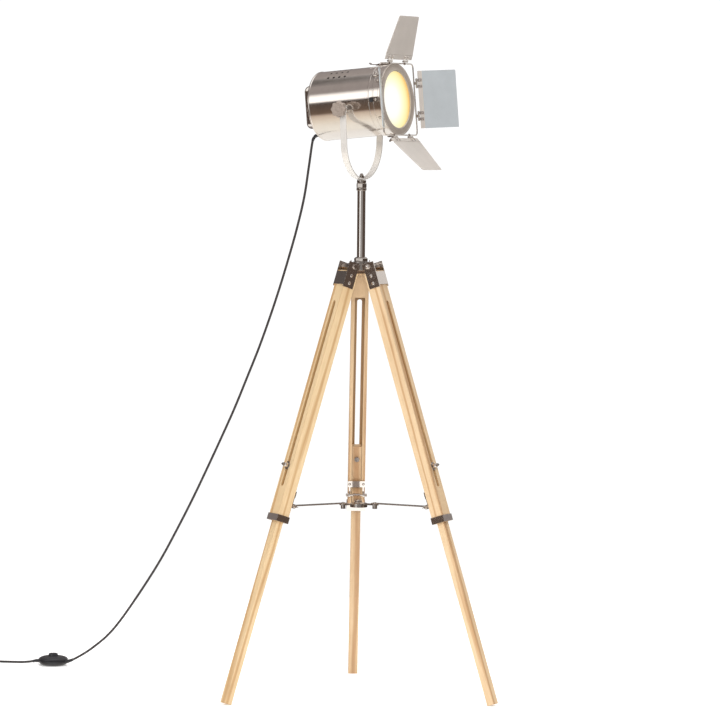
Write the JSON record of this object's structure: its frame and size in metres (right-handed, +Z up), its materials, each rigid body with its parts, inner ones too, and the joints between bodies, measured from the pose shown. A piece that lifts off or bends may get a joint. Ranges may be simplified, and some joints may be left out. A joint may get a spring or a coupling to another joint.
{
  "type": "tripod floor lamp",
  "caption": "Floor lamp with a theatre-style spot head and hinged barn doors on a folding, telescopic wooden tripod, with a foot switch on its cord.",
  "frame": {"origin": "on the floor, on the axis of the pole", "axes": "+Z up along the pole; +X the way the head points at rest, over leg 0; legs 1 and 2 at 120 and 240 degrees"},
  "size_m": [1.3684, 0.57, 1.4116],
  "materials": {
    "light_wood": "clear satin lacquer",
    "polished_nickel": "polished nickel plate",
    "dark_nickel": "dark nickel plate",
    "satin_grey": "satin grey-beige",
    "frosted_glass": "frosted, lit from behind",
    "opal_glass": "opal bulb",
    "black_plastic": "moulded, satin",
    "black_rubber": "smooth PVC cord sheath"
  },
  "bodies": {
    "stand": {"hub_casting": "dark_nickel", "leg_pivot_bolts": "dark_nickel", "pole_collar": "dark_nickel", "pole": "polished_nickel", "pole_socket": "dark_nickel", "cord_main": "black_rubber", "cord_lead": "black_rubber", "cord_coil": "black_rubber", "switch_base": "black_plastic", "switch_cover": "black_plastic", "plug": "black_plastic"},
    "yoke": {"yoke": "polished_nickel", "yoke_fasteners": "dark_nickel"},
    "knob_near": {"tilt_knob_near": "dark_nickel"},
    "knob_far": {"tilt_knob_far": "dark_nickel"},
    "head": {"barrel": "polished_nickel", "rear_cover": "polished_nickel", "rear_handle": "dark_nickel", "front_collar": "polished_nickel", "collar_latches": "dark_nickel", "bezel": "satin_grey", "lens": "frosted_glass", "lamp_holder": "black_plastic", "bulb": "opal_glass", "cable_gland": "black_plastic", "door_frame": "satin_grey", "door_hinge_pins": "dark_nickel"},
    "door_top": {"door_top": "satin_grey"},
    "door_near": {"door_near": "satin_grey"},
    "door_bottom": {"door_bottom": "satin_grey"},
    "door_far": {"door_far": "satin_grey"},
    "button": {"switch_button": "black_plastic"},
    "leg_0": {"leg_0_upper": "light_wood", "leg_0_cap": "polished_nickel", "leg_0_screws": "dark_nickel", "leg_0_straps": "polished_nickel", "leg_0_spreader_pin": "dark_nickel"},
    "lower_0": {"leg_0_lower": "light_wood", "leg_0_clamp_bolt": "dark_nickel"},
    "wing_nut_0": {"leg_0_wing_nut": "dark_nickel"},
    "arm_0": {"spreader_arm_0": "polished_nickel", "spreader_hub": "dark_nickel"},
    "leg_1": {"leg_1_upper": "light_wood", "leg_1_cap": "polished_nickel", "leg_1_screws": "dark_nickel", "leg_1_straps": "polished_nickel", "leg_1_spreader_pin": "dark_nickel"},
    "lower_1": {"leg_1_lower": "light_wood", "leg_1_clamp_bolt": "dark_nickel"},
    "wing_nut_1": {"leg_1_wing_nut": "dark_nickel"},
    "arm_1": {"spreader_arm_1": "polished_nickel"},
    "leg_2": {"leg_2_upper": "light_wood", "leg_2_cap": "polished_nickel", "leg_2_screws": "dark_nickel", "leg_2_straps": "polished_nickel", "leg_2_spreader_pin": "dark_nickel"},
    "lower_2": {"leg_2_lower": "light_wood", "leg_2_clamp_bolt": "dark_nickel"},
    "wing_nut_2": {"leg_2_wing_nut": "dark_nickel"},
    "arm_2": {"spreader_arm_2": "polished_nickel"}
  },
  "joints": [
    {"name": "leg_fold_0", "type": "hinge", "parent": "stand", "child": "leg_0", "pos_m": [0.0267, 0, 0.8945], "axis": [0, 1, 0], "range_deg": [0, 14]},
    {"name": "arm_fold_0", "type": "hinge", "parent": "leg_0", "child": "arm_0", "pos_m": [0.16559, 0, 0.40233], "axis": [0, -1, 0], "range_deg": [0, 98]},
    {"name": "leg_slide_0", "type": "slide", "parent": "leg_0", "child": "lower_0", "axis": [0.309, 0, -0.9511], "range_m": [-0.31, 0.038]},
    {"name": "wing_nut_turn_0", "type": "hinge", "parent": "lower_0", "child": "wing_nut_0", "pos_m": [0.17952, 0, 0.48887], "axis": [0.9511, 0, 0.309], "range_deg": [0, 180]},
    {"name": "leg_fold_1", "type": "hinge", "parent": "stand", "child": "leg_1", "pos_m": [-0.01335, 0.02312, 0.8945], "axis": [-0.866, -0.5, 0], "range_deg": [0, 14]},
    {"name": "arm_fold_1", "type": "hinge", "parent": "leg_1", "child": "arm_1", "pos_m": [-0.08279, 0.1434, 0.40233], "axis": [0.866, 0.5, 0], "range_deg": [0, 98]},
    {"name": "leg_slide_1", "type": "slide", "parent": "leg_1", "child": "lower_1", "axis": [-0.1545, 0.2676, -0.9511], "range_m": [-0.31, 0.038]},
    {"name": "wing_nut_turn_1", "type": "hinge", "parent": "lower_1", "child": "wing_nut_1", "pos_m": [-0.08976, 0.15547, 0.48887], "axis": [-0.4755, 0.8236, 0.309], "range_deg": [0, 180]},
    {"name": "leg_fold_2", "type": "hinge", "parent": "stand", "child": "leg_2", "pos_m": [-0.01335, -0.02312, 0.8945], "axis": [0.866, -0.5, 0], "range_deg": [0, 14]},
    {"name": "arm_fold_2", "type": "hinge", "parent": "leg_2", "child": "arm_2", "pos_m": [-0.08279, -0.1434, 0.40233], "axis": [-0.866, 0.5, 0], "range_deg": [0, 98]},
    {"name": "leg_slide_2", "type": "slide", "parent": "leg_2", "child": "lower_2", "axis": [-0.1545, -0.2676, -0.9511], "range_m": [-0.31, 0.038]},
    {"name": "wing_nut_turn_2", "type": "hinge", "parent": "lower_2", "child": "wing_nut_2", "pos_m": [-0.08976, -0.15547, 0.48887], "axis": [-0.4755, -0.8236, 0.309], "range_deg": [0, 180]},
    {"name": "pan", "type": "hinge", "parent": "stand", "child": "yoke", "pos_m": [0, 0, 1.074], "axis": [0, 0, 1], "range_deg": [-90, 90], "deforming": ["cord_main"]},
    {"name": "tilt", "type": "hinge", "parent": "yoke", "child": "head", "pos_m": [0, 0, 1.219], "axis": [0, 1, 0], "range_deg": [-45, 40], "deforming": ["cord_main"]},
    {"name": "knob_near_turn", "type": "hinge", "parent": "yoke", "child": "knob_near", "pos_m": [0, -0.1, 1.219], "axis": [0, -1, 0], "range_deg": [-180, 180]},
    {"name": "knob_far_turn", "type": "hinge", "parent": "yoke", "child": "knob_far", "pos_m": [0, 0.1, 1.219], "axis": [0, 1, 0], "range_deg": [-180, 180]},
    {"name": "door_top_swing", "type": "hinge", "parent": "head", "child": "door_top", "pos_m": [0.08188, 0, 1.31922], "axis": [0, 1, 0], "range_deg": [-36, 99]},
    {"name": "door_near_swing", "type": "hinge", "parent": "head", "child": "door_near", "pos_m": [0.08869, -0.0782, 1.24131], "axis": [0.0872, 0, -0.9962], "range_deg": [-94, 41]},
    {"name": "door_bottom_swing", "type": "hinge", "parent": "head", "child": "door_bottom", "pos_m": [0.09551, 0, 1.16341], "axis": [0, -1, 0], "range_deg": [-56, 79]},
    {"name": "door_far_swing", "type": "hinge", "parent": "head", "child": "door_far", "pos_m": [0.08869, 0.0782, 1.24131], "axis": [-0.0872, 0, 0.9962], "range_deg": [-88, 47]},
    {"name": "button_press", "type": "slide", "parent": "stand", "child": "button", "axis": [0, 0, -1], "range_m": [0, 0.003], "stiffness_N_per_m": 400, "springref_m": -0.002}
  ],
  "couplings": [
    {"joint": "arm_fold_0", "follows": "leg_fold_0", "ratio": 7},
    {"joint": "arm_fold_1", "follows": "leg_fold_0", "ratio": 7},
    {"joint": "leg_fold_1", "follows": "leg_fold_0", "ratio": 1},
    {"joint": "arm_fold_2", "follows": "leg_fold_0", "ratio": 7},
    {"joint": "leg_fold_2", "follows": "leg_fold_0", "ratio": 1}
  ]
}
